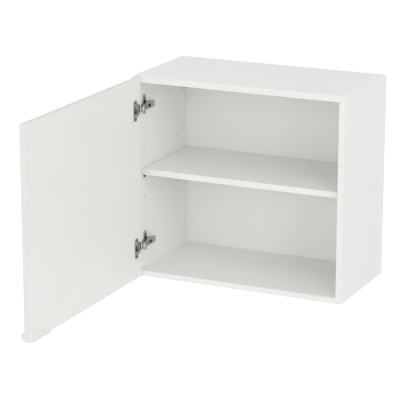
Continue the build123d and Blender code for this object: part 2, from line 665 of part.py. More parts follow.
def strap(points, half):
    """Plan outline of a flat bar of even thickness along a line of points, with round ends."""
    shape = Sketch()
    for start, end in zip(points, points[1:]):
        run = Vector(*end) - Vector(*start)
        middle = (Vector(*start) + Vector(*end)) / 2
        turn = math.degrees(math.atan2(run.Y, run.X))
        shape += Pos(middle.X, middle.Y) * Rot(0, 0, turn) * SlotCenterToCenter(run.length, 2 * half)
    return shape


def disc(point, radius):
    return Pos(*point) * Circle(radius)


def upright(sketch, low, high):
    """Plan outline raised between two heights."""
    return Pos(0, 0, low) * extrude(sketch, high - low)


def pivot_pin(point, low, high):
    return upright(disc(point, PIVOT_PIN_RADIUS), low, high)


def pivot_bore(point, level):
    hole = disc(point, PIVOT_PIN_RADIUS + PIVOT_CLEARANCE)
    return upright(hole, level - CUP_PIN_HALF_LENGTH, level + CUP_PIN_HALF_LENGTH)


def edge_link(level):
    """Cranked middle link that carries the door, rolled round both of its pins."""
    knee = beside(edge_pivot, EDGE_LINK_KNEE)
    outline = strap([rear_pivot, knee, edge_pivot], LINK_HALF_THICKNESS)
    outline += disc(rear_pivot, LINK_EYE_RADIUS) + disc(edge_pivot, LINK_EYE_RADIUS)
    link = upright(outline, level - EDGE_LINK_HALF_WIDTH, level + EDGE_LINK_HALF_WIDTH)
    return link - pivot_bore(rear_pivot, level) - pivot_bore(edge_pivot, level)


def fork_link(level):
    """Forked outer link: one barrel at the arm's nose, two prongs into the cup."""
    knee = beside(fork_pivot, FORK_LINK_KNEE)
    outline = strap([nose_pivot, knee, fork_pivot], LINK_HALF_THICKNESS) + disc(fork_pivot, LINK_EYE_RADIUS)
    link = upright(disc(nose_pivot, LINK_EYE_RADIUS), level - FORK_OUTER, level + FORK_OUTER)
    link += upright(outline, level + FORK_INNER, level + FORK_OUTER)
    link += upright(outline, level - FORK_OUTER, level - FORK_INNER)
    return link - pivot_bore(nose_pivot, level) - pivot_bore(fork_pivot, level)


def hinge_arm(level):
    """Pressed channel arm with two ears at its nose."""
    ears = make_hull(
        disc(rear_pivot, ARM_EYE_RADIUS).edges()
        + disc(nose_pivot, ARM_EYE_RADIUS).edges()
        + disc(carcass_point(ARM_TOP - ARM_EYE_RADIUS, ARM_FRONT + ARM_EYE_RADIUS), ARM_EYE_RADIUS).edges()
    )
    channel = Polygon(
        carcass_point(ARM_TOP, ARM_FRONT),
        carcass_point(ARM_TOP, ARM_REAR),
        carcass_point(ARM_WAIST, ARM_REAR),
        carcass_point(ARM_FOOT, ARM_REAR - ARM_REAR_SLOPE),
        carcass_point(ARM_FOOT, ARM_FRONT + ARM_REAR_SLOPE),
        carcass_point(ARM_WAIST, ARM_FRONT),
        align=None,
    )
    cheek = channel + ears
    arm = upright(cheek, level + ARM_CHEEK_INNER, level + ARM_CHEEK_OUTER)
    arm += upright(cheek, level - ARM_CHEEK_OUTER, level - ARM_CHEEK_INNER)
    low = (*carcass_point(ARM_TOP - ARM_SHEET, ARM_FRONT), level - ARM_CHEEK_OUTER)
    high = (*carcass_point(ARM_TOP, ARM_REAR), level + ARM_CHEEK_OUTER)
    arm += block(low, high)
    for sign in SIDES:
        seat = (*nose_pivot, level + sign * ARM_CHEEK_OUTER)
        arm += rod(seat, (0, 0, sign), RIVET_HEAD_RADIUS, RIVET_HEAD_HEIGHT)
    hole = disc(rear_pivot, PIVOT_PIN_RADIUS)
    arm -= upright(hole, level - ARM_CHEEK_OUTER, level + ARM_CHEEK_OUTER)
    return arm - arm_screws(level)


def arm_screws(level):
    return fixing_screw(level) + overlay_screw(level)


def fixing_screw(level):
    seat = (*carcass_point(ARM_TOP, FIXING_SCREW_LINE), level)
    radius = ARM_SCREW_DIAMETER / 2
    return screw(seat, (-1, 0, 0), radius, ARM_SCREW_DEPTH, FIXING_HEAD_DIAMETER / 2, FIXING_HEAD_HEIGHT)


def overlay_screw(level):
    seat = (*carcass_point(ARM_TOP, OVERLAY_SCREW_LINE), level)
    radius = ARM_SCREW_DIAMETER / 2
    return screw(seat, (-1, 0, 0), radius, ARM_SCREW_DEPTH, OVERLAY_HEAD_DIAMETER / 2, OVERLAY_HEAD_HEIGHT)


def plate_screw(level, row):
    seat = (INNER_LEFT + PLATE_THICKNESS, FRONT + PLATE_LINE, level + row)
    depth = PLATE_THICKNESS + PLATE_SCREW_DEPTH
    radius = PLATE_SCREW_DIAMETER / 2
    return screw(seat, (-1, 0, 0), radius, depth, PLATE_SCREW_HEAD / 2, PLATE_SCREW_HEAD_HEIGHT)


plate_screws = merged([plate_screw(level, row) for level in HINGE_LEVELS for row in PLATE_SCREW_ROWS])


def height_cam(level):
    """Tall-headed cam on the upper wing that sets the door's height."""
    seat = (INNER_LEFT + PLATE_THICKNESS, FRONT + HEIGHT_CAM_LINE, level + HEIGHT_CAM_RISE)
    radius = HEIGHT_CAM_STEM / 2
    return screw(seat, (-1, 0, 0), radius, PLATE_THICKNESS, HEIGHT_CAM_DIAMETER / 2, HEIGHT_CAM_HEIGHT)


def mounting_plate(level):
    """Wing plate on the side panel, lifted by its height setting, with a ridge that the arm sits on."""
    middle = (INNER_LEFT, FRONT + PLATE_LINE, level + PLATE_LIFT)
    wall = Plane(origin=middle, x_dir=(0, 0, 1), z_dir=(1, 0, 0))
    plate = extrude(wall * SlotOverall(PLATE_WING_HEIGHT, PLATE_WING_WIDTH), PLATE_THICKNESS)
    low = (INNER_LEFT, FRONT + RIDGE_FRONT, level - RIDGE_HALF_WIDTH)
    high = (INNER_LEFT + ARM_TOP - ARM_SHEET, FRONT + RIDGE_FRONT + RIDGE_LENGTH, level + RIDGE_HALF_WIDTH)
    ridge = block(low, high)
    ridge = fillet(ridge.edges().filter_by(Axis.X), RIDGE_ROUND)
    return plate + ridge - plate_screws - height_cam(level) - arm_screws(level)


def hinge_cup(level):
    """Cup pressed into the door: flange with two ears, bowl and a slot for the arm and links."""
    face = Plane(origin=door_point(CUP_CENTRE, 0, level), x_dir=(0, 0, 1), z_dir=(-1, 0, 0))
    outline = RectangleRounded(CUP_FLANGE_HEIGHT, CUP_FLANGE_WIDTH, CUP_FLANGE_CORNER)
    ears = Pos(0, -CUP_SCREW_OFFSET) * outline
    rim = Circle(CUP_DIAMETER / 2 + CUP_RIM)
    cup = extrude(face * (ears + rim), -CUP_FLANGE)
    cup += extrude(face * Circle(CUP_DIAMETER / 2 - FIT), CUP_DEPTH - FIT)
    bowl = Circle(CUP_DIAMETER / 2 - CUP_WALL) & Rectangle(2 * CUP_SLOT_HALF, CUP_DIAMETER)
    cup -= extrude(face * bowl, CUP_DEPTH - CUP_WALL)
    cup -= extrude(face * bowl, -CUP_FLANGE)
    return cup - cup_screws - cup_pins(level)


def cup_pins(level):
    """Through pin of the middle link and two stub pins of the fork."""
    length = CUP_PIN_HALF_LENGTH
    pins = [pivot_pin(edge_pivot, level - length, level + length)]
    pins.append(pivot_pin(fork_pivot, level + FORK_INNER, level + length))
    pins.append(pivot_pin(fork_pivot, level - length, level - FORK_INNER))
    return merged(pins)


def closing_spring(level):
    """Flat spring: it lies on the cup's floor and rises along its wall to the middle link's eye."""
    half = SPRING_SHEET / 2
    floor = CUP_DEPTH - CUP_WALL - half
    bowl = CUP_DIAMETER / 2 - CUP_WALL
    wall = CUP_CENTRE - math.sqrt(bowl**2 - SPRING_HALF_WIDTH**2)
    tip = EDGE_ALONG - LINK_EYE_RADIUS - SPRING_GAP - half
    heel = wall + SPRING_GAP + half
    route = [(SPRING_TAIL, floor), (heel, floor), (tip, EDGE_LINK_PIVOT_DEPTH)]
    line = FilletPolyline(*[door_point(*place, 0)[:2] for place in route], radius=SPRING_BEND)
    return upright(trace(line, SPRING_SHEET), level - SPRING_HALF_WIDTH, level + SPRING_HALF_WIDTH)


for level, name in zip(HINGE_LEVELS, ("upper", "lower")):
    write(name + "_edge_link", edge_link(level))
    write(name + "_fork_link", fork_link(level))
    write(name + "_hinge_arm", hinge_arm(level))
    write(name + "_mounting_plate", mounting_plate(level))
    write(name + "_hinge_cup", hinge_cup(level))

write("closing_springs", merged([closing_spring(level) for level in HINGE_LEVELS]))
write("height_cams", merged([height_cam(level) for level in HINGE_LEVELS]))
write("mounting_plate_screws", plate_screws)
write("arm_fixing_screws", merged([fixing_screw(level) for level in HINGE_LEVELS]))
write("overlay_screws", merged([overlay_screw(level) for level in HINGE_LEVELS]))
write("cup_pivot_pins", merged([cup_pins(level) for level in HINGE_LEVELS]))
rear_pins = [pivot_pin(rear_pivot, z - ARM_CHEEK_OUTER, z + ARM_CHEEK_OUTER) for z in HINGE_LEVELS]
write("arm_pivot_pins", merged(rear_pins))
nose_pins = [pivot_pin(nose_pivot, z - FORK_OUTER, z + FORK_OUTER) for z in HINGE_LEVELS]
write("nose_pivot_pins", merged(nose_pins))
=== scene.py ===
"""Hanging wall cabinet with its door open at a right angle: finishes, fittings and a plain pale studio.

Laid out as an add-on, with one operator for each group of pieces. Metres, in the cabinet's own frame:
x = 0 in the middle of the width, y = 0 on the wall, z = 0 in the middle of the height.
"""

import math
from typing import NamedTuple

import bpy
from bpy.props import FloatProperty, FloatVectorProperty, IntProperty, PointerProperty
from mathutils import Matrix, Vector


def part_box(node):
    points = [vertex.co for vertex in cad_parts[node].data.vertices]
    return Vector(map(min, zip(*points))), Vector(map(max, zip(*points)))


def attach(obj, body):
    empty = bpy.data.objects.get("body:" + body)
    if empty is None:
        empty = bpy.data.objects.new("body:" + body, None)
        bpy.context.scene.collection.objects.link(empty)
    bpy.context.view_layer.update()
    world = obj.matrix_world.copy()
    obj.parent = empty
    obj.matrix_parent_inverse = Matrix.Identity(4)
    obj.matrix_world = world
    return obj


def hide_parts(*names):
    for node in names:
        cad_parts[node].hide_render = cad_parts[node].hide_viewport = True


bl_info = {
    "name": "Hanging wall cabinet",
    "version": (1, 0, 0),
    "blender": (4, 5, 0),
    "location": "3D View > Sidebar > Cabinet",
    "description": "Dresses a white wall cabinet with its finishes, hinges, handle and studio",
    "category": "Object",
}

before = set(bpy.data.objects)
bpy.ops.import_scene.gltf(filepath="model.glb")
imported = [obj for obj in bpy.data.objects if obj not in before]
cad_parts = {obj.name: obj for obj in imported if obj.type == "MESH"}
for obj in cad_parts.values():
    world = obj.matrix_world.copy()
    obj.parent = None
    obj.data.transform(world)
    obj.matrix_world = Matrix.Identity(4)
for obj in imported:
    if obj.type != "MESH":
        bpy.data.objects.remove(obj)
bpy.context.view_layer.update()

MM = 0.001
MERGE_DISTANCE = 0.00001
FLAT_ANGLE = math.radians(0.5)
SHARP_ANGLE = math.radians(35)
LONGEST_RIM = 30 * MM
WHITE = (1.0, 1.0, 1.0, 1.0)

# Opposite corners in the bound_box of an object
LOW_CORNER = 0
HIGH_CORNER = 6

# Screws: the rim as a share of the head's radius, the head's rounding, and the recess by that radius
NEARLY_ALL = 0.98
CROWN_SHARE = 0.45
RECESS_REACH = 0.58
RECESS_WIDTH = 0.28
RECESS_DEPTH = 0.45
RECESS_TAPER = 0.5

# A face whose normal rises less than this looks sideways
SIDEWAYS = 0.5

# Patterns: the range that holds most of a noise, stretches along x, y and z, and shares of a mix
NOISE_RANGE = (0.3, 0.7)
NOISE_MIDDLE = 0.5
STREAK_STRETCH = (1.0, 0.15, 4.0)
STREAK_SHARE = 0.4
LINE_STRETCH = (1.0, 0.03, 1.0)
BROAD_GRAIN_SCALE = 0.22
BROAD_GRAIN_SHARE = 0.3
CHIP_STRETCH = (1.0, 0.6, 1.6)
CHIP_TONES = (0.55, 1.2)
FLECK_STRETCH = (0.06, 1.0, 1.0)
FLECK_RANGE = (0.35, 0.7)
FLECK_TONES = (1.0, 0.62)

# Roughness that bare chipboard, bare hardboard and zinc spangles add, and where the back's lacquer ends
BARE_CORE = 0.35
BARE_REAR = 0.3
SPANGLE = 0.12
SPANGLE_SCALE = 700.0
LACQUER_END = (-0.9 * MM, -0.4 * MM)

# Colour sockets of a Mix node
MIX_FIRST = 6
MIX_SECOND = 7
MIX_RESULT = 2

UPRIGHT_BOARDS = ("left_side_panel", "right_side_panel", "door_panel")
LEVEL_BOARDS = ("top_panel", "bottom_panel", "shelf_board")
EDGE_BANDS = {
    "carcass_edging": "white_edging",
    "shelf_edging": "white_edging",
    "door_edging": "door_edging",
}
PIVOT_PINS = ("arm_pivot_pins", "cup_pivot_pins", "nose_pivot_pins")
HANGER_SIDES = ("left", "right")

# Turn of each lamp to the right of the front and its rise above the horizon, in degrees
LAMPS = {
    "left_lamp": (-95, 20),
    "front_lamp": (5, 6),
    "right_lamp": (56, 19),
    "high_lamp": (25, 55),
}


def colour(label, text, value):
    """Property for the linear colour of a finish."""
    return FloatVectorProperty(name=label, description=text, default=value, subtype="COLOR", min=0, max=1)


def length(label, text, millimetres):
    """Property for a length, given in millimetres and kept in metres."""
    return FloatProperty(name=label, description=text, default=millimetres * MM, unit="LENGTH", precision=5)


def angle(label, text, degrees):
    """Property for an angle, given in degrees."""
    return FloatProperty(name=label, description=text, default=math.radians(degrees), subtype="ANGLE")


def power(label, text, watts):
    """Property for the power of a lamp."""
    return FloatProperty(name=label, description=text, default=watts, unit="POWER", min=0)


def count(label, text, number, least):
    """Property for a whole number of facets."""
    return IntProperty(name=label, description=text, default=number, min=least)


def strength(label, text, value):
    """Property for the strength of a light that has no watts."""
    return FloatProperty(name=label, description=text, default=value, min=0)


class CabinetFinish(bpy.types.PropertyGroup):
    """Colours of the cabinet's materials."""

    board: colour("Board", "White melamine facing of the boards", (0.92, 0.913, 0.892))
    # Greyer than the board: painted shade that offsets the extra lamp light on the front edges
    edging: colour("Edging", "Bands along the front edges of the boards", (0.84, 0.835, 0.82))
    # Greyer than the carcass edging: painted shade on the door's edges
    door_edging: colour("Door edging", "Bands round the door", (0.80, 0.795, 0.78))
    chipboard: colour("Chipboard", "Core of the boards, bare in holes and cut ends", (0.70, 0.63, 0.53))
    back: colour("Back", "Lacquered inner face of the back panel", (0.915, 0.905, 0.88))
    hardboard: colour("Hardboard", "Bare rear face of the back panel", (0.33, 0.20, 0.105))
    nickel: colour("Nickel", "Plated steel of the hinges' pressings", (0.49, 0.48, 0.46))
    # Brighter than the pressings' nickel: painted highlight on the hinge links
    nickel_painted_highlight: colour("Polished nickel", "Plated steel of the hinges' links", (0.64, 0.63, 0.61))
    # Darker than the pressings' nickel: painted shade on the hinge screws
    nickel_painted_shade: colour("Screw nickel", "Plated steel of the hinges' screws", (0.24, 0.235, 0.225))
    black_steel: colour("Black steel", "Phosphated screws and height cams", (0.022, 0.021, 0.02))
    zinc: colour("Zinc", "Plated screws, nails, bolts, cams and hooks", (0.58, 0.59, 0.61))
    support_steel: colour("Support steel", "Dull steel of the shelf supports", (0.21, 0.205, 0.20))
    beech: colour("Beech", "Bare wood of the dowels", (0.52, 0.33, 0.17))
    handle: colour("Handle", "Moulded plastic of the handle", (0.86, 0.855, 0.84))
    hanger: colour("Hanger", "Moulded plastic of the hangers", (0.78, 0.778, 0.76))


class CabinetDetail(bpy.types.PropertyGroup):
    """Sizes of the fine detail on the fittings."""

    pressed_edge: length("Pressed edge", "Rounding along the outlines of pressed steel", 0.2)
    fine_edge: length("Fine edge", "Rounding along the outlines of the smallest pieces", 0.1)
    moulded_edge: length("Moulded edge", "Rounding along the outlines of the handle", 0.35)
    edge_steps: count("Edge steps", "Facets across a rounded edge", 3, least=1)
    turned_steps: count("Turned steps", "Facets round a turned piece", 32, least=8)
    wood_pitch: length("Wood thread", "Distance between two turns of a wood screw's thread", 1.6)
    machine_pitch: length("Machine thread", "Distance between two turns of a machine screw's thread", 0.8)
    thread_depth: length("Thread depth", "Height of a thread above its root", 0.4)
    grub_cap: length("Grub cap", "Plain end of a screw that has no head", 1.2)
    facing: length("Facing", "Thickness of the melamine over the chipboard core", 0.3)
    band: length("Band", "Thickness of the edge bands", 1.0)


class CabinetStudio(bpy.types.PropertyGroup):
    """Camera, floor and light."""

    lens: FloatProperty(name="Lens", description="Focal length in millimetres", default=175.3, min=1)
    azimuth: angle("Azimuth", "Turn of the camera to the right of the front", 25.42)
    elevation: angle("Elevation", "Rise of the camera above the horizon", 15.53)
    distance: length("Distance", "From the camera to the point it looks at", 5000)
    aim: FloatVectorProperty(
        name="Aim",
        description="Point that the camera looks at",
        default=(-0.054, -0.402, -0.0105),
        subtype="XYZ",
    )
    floor_level: length("Floor level", "Height of the floor in the cabinet's frame", -900)
    floor_size: length("Floor size", "Side of the square floor", 60000)
    floor_colour: colour("Floor colour", "Pale floor under the cabinet", (0.82, 0.82, 0.82))
    floor_lift: strength("Floor lift", "Light that the floor adds where it is seen as background", 0.55)
    sky: strength("Sky", "Even light from all round", 0.6)
    lamp_distance: length("Lamp distance", "From each lamp to the point that the camera looks at", 9000)
    lamp_size: length("Lamp size", "Side of each square lamp", 6000)
    left_lamp: power("Left lamp", "Power of the lamp on the left", 110)
    front_lamp: power("Front lamp", "Power of the lamp straight in front", 172)
    right_lamp: power("Right lamp", "Power of the lamp at the front right", 200)
    high_lamp: power("High lamp", "Power of the lamp high in front", 98)


def look_at_only(obj):
    """Makes one object the active and only selected one, in object mode."""
    if bpy.context.mode != "OBJECT":
        bpy.ops.object.mode_set(mode="OBJECT")
    bpy.ops.object.select_all(action="DESELECT")
    obj.select_set(True)
    bpy.context.view_layer.objects.active = obj


def open_mesh(obj, kind):
    """Enters edit mode on one object with nothing selected."""
    look_at_only(obj)
    bpy.ops.object.mode_set(mode="EDIT")
    bpy.ops.mesh.select_mode(type=kind)
    bpy.ops.mesh.select_all(action="DESELECT")


def close_mesh():
    """Goes back to object mode."""
    bpy.ops.object.mode_set(mode="OBJECT")


def copy_of(piece, name):
    """A copy of a piece, with a mesh of its own."""
    copy = bpy.data.objects.new(name, piece.data.copy())
    bpy.context.scene.collection.objects.link(copy)
    return copy


def merged_copy(node, name):
    """A copy of a CAD node with its triangles merged and its flat stretches joined into whole faces."""
    piece = copy_of(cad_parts[node], name)
    open_mesh(piece, "EDGE")
    bpy.ops.mesh.select_all(action="SELECT")
    bpy.ops.mesh.remove_doubles(threshold=MERGE_DISTANCE)
    bpy.ops.mesh.dissolve_limited(angle_limit=FLAT_ANGLE)
    close_mesh()
    return piece


def chain_ends(edges):
    """For each vertex of some edges, one vertex that stands for the whole chain it belongs to."""
    ends = {}

    def end_of(vertex):
        while ends.setdefault(vertex, vertex) != vertex:
            vertex = ends[vertex]
        return vertex

    for edge in edges:
        first, second = edge.vertices
        ends[end_of(first)] = end_of(second)
    return {vertex: end_of(vertex) for vertex in list(ends)}


def select_outlines(piece):
    """Selects the sharp edges of a piece, apart from the rims of its small holes."""
    open_mesh(piece, "EDGE")
    bpy.ops.mesh.edges_select_sharp(sharpness=SHARP_ANGLE)
    close_mesh()
    points = piece.data.vertices
    sharp = [edge for edge in piece.data.edges if edge.select]
    ends = chain_ends(sharp)
    lengths = dict.fromkeys(ends.values(), 0)
    for edge in sharp:
        first, second = edge.vertices
        lengths[ends[first]] += (points[first].co - points[second].co).length
    for edge in sharp:
        edge.select = lengths[ends[edge.vertices[0]]] > LONGEST_RIM
    for vertex, end in ends.items():
        points[vertex].select = lengths[end] > LONGEST_RIM


def ease_edges(piece, width, steps):
    """Rounds the outlines of a piece and shades the rest smooth."""
    select_outlines(piece)
    bpy.ops.object.mode_set(mode="EDIT")
    bpy.ops.mesh.bevel(offset=width, segments=steps, affect="EDGES", clamp_overlap=True)
    close_mesh()
    bpy.ops.object.shade_smooth_by_angle(angle=SHARP_ANGLE)


def settle(piece, body, slot, node, finish):
    """Gives a finished piece its material, from its finish or else its slot, puts it in its body and hides
    the node that it stands for.
    """
    piece.data.materials.clear()
    piece.data.materials.append(material(finish or slot))
    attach(piece, body)
    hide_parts(node)


def dress(node, finish):
    """Puts a material on a CAD node that keeps its own shape."""
    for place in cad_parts[node].material_slots:
        place.material = finish


def eased_node(node, body, slot, width, finish=None):
    """Stands for a CAD node with the same shape and eased edges."""
    detail = bpy.context.scene.cabinet_detail
    piece = merged_copy(node, node + "_eased")
    ease_edges(piece, width, detail.edge_steps)
    settle(piece, body, slot, node, finish)
    return piece


def moved_copy(piece, name, move):
    """A copy of a finished piece at another place."""
    copy = copy_of(piece, name)
    copy.location = move
    look_at_only(copy)
    bpy.ops.object.transform_apply(location=True, rotation=False, scale=False)
    return copy


def loose_solids(node):
    """Copies of the separate solids of a CAD node, as objects of their own."""
    look_at_only(merged_copy(node, node + "_solid"))
    bpy.ops.mesh.separate(type="LOOSE")
    return list(bpy.context.selected_objects)


def discard(objects):
    """Deletes objects that only helped."""
    for obj in objects:
        bpy.data.objects.remove(obj)


def towards_middle(place):
    """Direction across the cabinet, from a point to the middle of its width."""
    return Vector((-math.copysign(1, place.x), 0, 0))


def forwards(place):
    """Direction out of the cabinet's front, at any point."""
    return Vector((0, -1, 0))


def downwards(place):
    """Direction to the floor, at any point."""
    return Vector((0, 0, -1))


class Screw(NamedTuple):
    """A screw's outward direction, the middle of its seat, and its sizes from there."""

    outward: Vector
    seat: Vector
    head_radius: float
    head_height: float
    shank_radius: float
    depth: float


def measure_screw(solid, outward_at, grub_cap):
    """Reads the place and the sizes of a CAD screw."""
    points = [vertex.co for vertex in solid.data.vertices]
    middle = (Vector(solid.bound_box[LOW_CORNER]) + Vector(solid.bound_box[HIGH_CORNER])) / 2
    outward = outward_at(middle)
    heights = [(point - middle).dot(outward) for point in points]
    radii = [(point - middle - outward * height).length for point, height in zip(points, heights)]
    top = max(heights)
    tip = min(heights)
    head_radius = max(radii)
    seat = min(height for height, radius in zip(heights, radii) if radius > head_radius * NEARLY_ALL)
    if seat - tip < MERGE_DISTANCE:
        seat = top - grub_cap
    shank_radius = max(radius for height, radius in zip(heights, radii) if height - tip < MERGE_DISTANCE)
    return Screw(outward, middle + outward * seat, head_radius, top - seat, shank_radius, seat - tip)


def screw_outline(screw, pitch, detail):
    """Half section of a screw from the middle of its head round to its tip, with the seat at height 0."""
    crown = CROWN_SHARE * min(screw.head_radius, screw.head_height)
    outline = [(0, screw.head_height)]
    for step in range(detail.edge_steps + 1):
        turn = math.pi / 2 * step / detail.edge_steps
        radius = screw.head_radius - crown + crown * math.sin(turn)
        height = screw.head_height - crown + crown * math.cos(turn)
        outline.append((radius, height))
    root = screw.shank_radius - detail.thread_depth
    outline.append((screw.head_radius, 0))
    outline.append((root, 0))
    for turn in range(int(screw.depth / pitch) - 1):
        outline.append((screw.shank_radius, -(turn + 0.5) * pitch))
        outline.append((root, -(turn + 1) * pitch))
    outline.append((0, -screw.depth))
    return outline


def turned(name, outline, steps):
    """Turns a half section round the z axis, point by point and then as a spin."""
    bpy.ops.object.select_all(action="DESELECT")
    bpy.ops.mesh.primitive_plane_add(size=MM)
    piece = bpy.context.object
    piece.name = name
    open_mesh(piece, "VERT")
    bpy.ops.mesh.select_all(action="SELECT")
    bpy.ops.mesh.merge(type="CENTER")
    radius, height = outline[0]
    bpy.ops.transform.translate(value=(radius, 0, height))
    for (radius, height), (next_radius, next_height) in zip(outline, outline[1:]):
        move = (next_radius - radius, 0, next_height - height)
        bpy.ops.mesh.extrude_region_move(TRANSFORM_OT_translate={"value": move})
    bpy.ops.mesh.select_all(action="SELECT")
    bpy.ops.mesh.spin(steps=steps, angle=math.tau, center=(0, 0, 0), axis=(0, 0, 1))
    bpy.ops.mesh.select_all(action="SELECT")
    bpy.ops.mesh.remove_doubles(threshold=MERGE_DISTANCE)
    bpy.ops.mesh.normals_make_consistent(inside=False)
    close_mesh()
    return piece


def cross_driver(radius, top):
    """Tapered cross that leaves the recess in a screw's head; its middle lies on the head's top."""
    width = RECESS_WIDTH * radius
    bpy.ops.object.select_all(action="DESELECT")
    bpy.ops.mesh.primitive_cube_add(size=width)
    cross = bpy.context.object
    for face in cross.data.polygons:
        face.select = abs(face.normal.z) < SIDEWAYS
    bpy.ops.object.mode_set(mode="EDIT")
    bpy.ops.mesh.extrude_faces_move(TRANSFORM_OT_shrink_fatten={"value": RECESS_REACH * radius - width / 2})
    close_mesh()
    open_mesh(cross, "VERT")
    close_mesh()
    for vertex in cross.data.vertices:
        vertex.select = vertex.co.z < 0
    bpy.ops.object.mode_set(mode="EDIT")
    bpy.ops.transform.resize(value=(RECESS_TAPER, RECESS_TAPER, 1), center_override=(0, 0, 0))
    bpy.ops.mesh.select_all(action="SELECT")
    deeper = 2 * RECESS_DEPTH * radius / width
    bpy.ops.transform.resize(value=(1, 1, deeper), center_override=(0, 0, 0))
    bpy.ops.transform.translate(value=(0, 0, top))
    close_mesh()
    return cross


def turned_screw(name, screw, pitch):
    """A screw with a rounded head, a cross recess and a thread, upright with its seat at the origin."""
    detail = bpy.context.scene.cabinet_detail
    piece = turned(name, screw_outline(screw, pitch, detail), detail.turned_steps)
    cross = cross_driver(screw.head_radius, screw.head_height)
    look_at_only(piece)
    cut = piece.modifiers.new("Recess", "BOOLEAN")
    cut.operation = "DIFFERENCE"
    cut.solver = "EXACT"
    cut.object = cross
    bpy.ops.object.modifier_apply(modifier=cut.name)
    open_mesh(piece, "VERT")
    bpy.ops.mesh.select_all(action="SELECT")
    bpy.ops.mesh.remove_doubles(threshold=MERGE_DISTANCE)
    bpy.ops.mesh.dissolve_degenerate(threshold=MERGE_DISTANCE)
    close_mesh()
    bpy.ops.object.shade_smooth_by_angle(angle=SHARP_ANGLE)
    discard([cross])
    return piece


def turned_screws(node, body, slot, outward_at, pitch, finish=None):
    """Stands for a group of CAD screws with copies of one turned screw."""
    solids = loose_solids(node)
    grub_cap = bpy.context.scene.cabinet_detail.grub_cap
    screws = [measure_screw(solid, outward_at, grub_cap) for solid in solids]
    discard(solids)
    model = turned_screw(node + "_model", screws[0], pitch)
    copies = []
    for screw in screws:
        copy = copy_of(model, node + "_turned")
        copy.rotation_euler = screw.outward.to_track_quat("Z", "Y").to_euler()
        copy.location = screw.seat
        copies.append(copy)
    discard([model])
    look_at_only(copies[0])
    for copy in copies:
        copy.select_set(True)
    bpy.ops.object.transform_apply(location=True, rotation=True, scale=True)
    bpy.ops.object.join()
    settle(copies[0], body, slot, node, finish)


def node_of(tree, kind, **settings):
    """New shader node with its settings."""
    node = tree.nodes.new("ShaderNode" + kind)
    for key, value in settings.items():
        setattr(node, key, value)
    return node


def set_or_link(tree, socket, value):
    """Gives a socket a plain value, or a link from another socket."""
    if isinstance(value, bpy.types.NodeSocket):
        tree.links.new(value, socket)
    else:
        socket.default_value = value


def noise(tree, vector, scale, detail):
    """Noise texture on a vector; scale is a number or an output socket."""
    node = node_of(tree, "TexNoise")
    node.inputs["Detail"].default_value = detail
    tree.links.new(vector, node.inputs["Vector"])
    set_or_link(tree, node.inputs["Scale"], scale)
    return node.outputs["Fac"]


def math_node(tree, operation, *values):
    """Math node on numbers or output sockets."""
    node = node_of(tree, "Math", operation=operation)
    for socket, value in zip(node.inputs, values):
        set_or_link(tree, socket, value)
    return node.outputs["Value"]


def with_share(tree, base, pattern, share):
    """A value with a share of a pattern added."""
    return math_node(tree, "ADD", base, math_node(tree, "MULTIPLY", pattern, share))


def blended(tree, first, second, share):
    """Two patterns in one, in which the second has a given share."""
    return with_share(tree, math_node(tree, "MULTIPLY", first, 1 - share), second, share)


def remap(tree, value, old_range, new_range):
    """Map Range node, clamped."""
    node = node_of(tree, "MapRange")
    for socket, entry in zip(node.inputs, (value, *old_range, *new_range)):
        set_or_link(tree, socket, entry)
    return node.outputs["Result"]


def stretched(tree, vector, scale):
    """Mapping node that stretches a pattern along the axes whose scale is small."""
    node = node_of(tree, "Mapping")
    node.inputs["Scale"].default_value = scale
    tree.links.new(vector, node.inputs["Vector"])
    return node.outputs["Vector"]


def part_of(tree, vector, axis):
    """One coordinate of a vector."""
    node = node_of(tree, "SeparateXYZ")
    tree.links.new(vector, node.inputs["Vector"])
    return node.outputs[axis]


def shaded(tree, rgb, shade):
    """Colour made lighter or darker."""
    node = node_of(tree, "VectorMath", operation="SCALE")
    tree.links.new(rgb, node.inputs["Vector"])
    tree.links.new(shade, node.inputs["Scale"])
    return node.outputs["Vector"]


def mixed(tree, factor, first, second):
    """Mix node between two colours."""
    node = node_of(tree, "Mix", data_type="RGBA")
    tree.links.new(factor, node.inputs["Factor"])
    tree.links.new(first, node.inputs[MIX_FIRST])
    tree.links.new(second, node.inputs[MIX_SECOND])
    return node.outputs[MIX_RESULT]


def tone_drift(tree, given):
    """Colour that drifts a little lighter and darker over the surface."""
    drift = noise(tree, given["Vector"], given["Scale"], detail=3.0)
    darker = math_node(tree, "SUBTRACT", 1.0, given["Amount"])
    return shaded(tree, given["Color"], remap(tree, drift, NOISE_RANGE, (darker, 1.0)))


def handling(tree, given):
    """Roughness that wanders with rubbing and wiping: broad patches crossed by faint streaks."""
    patches = noise(tree, given["Vector"], given["Scale"], detail=3.0)
    streak_vector = stretched(tree, given["Vector"], STREAK_STRETCH)
    streaks = noise(tree, streak_vector, given["Scale"], detail=5.0)
    centred = math_node(tree, "SUBTRACT", blended(tree, patches, streaks, STREAK_SHARE), NOISE_MIDDLE)
    return with_share(tree, given["Roughness"], centred, given["Spread"])


def pearl_grain(tree, given):
    """Fine rounded grain, as pressed into melamine or moulded plastic."""
    fine = noise(tree, given["Vector"], given["Scale"], detail=1.0)
    broad_scale = math_node(tree, "MULTIPLY", given["Scale"], BROAD_GRAIN_SCALE)
    broad = noise(tree, given["Vector"], broad_scale, detail=1.0)
    return blended(tree, fine, broad, BROAD_GRAIN_SHARE)


def drawn_lines(tree, given):
    """Fine lines left by rolling or drawing, along the y axis of the vector."""
    lines = noise(tree, stretched(tree, given["Vector"], LINE_STRETCH), given["Scale"], detail=4.0)
    return remap(tree, lines, NOISE_RANGE, (0.0, 1.0))


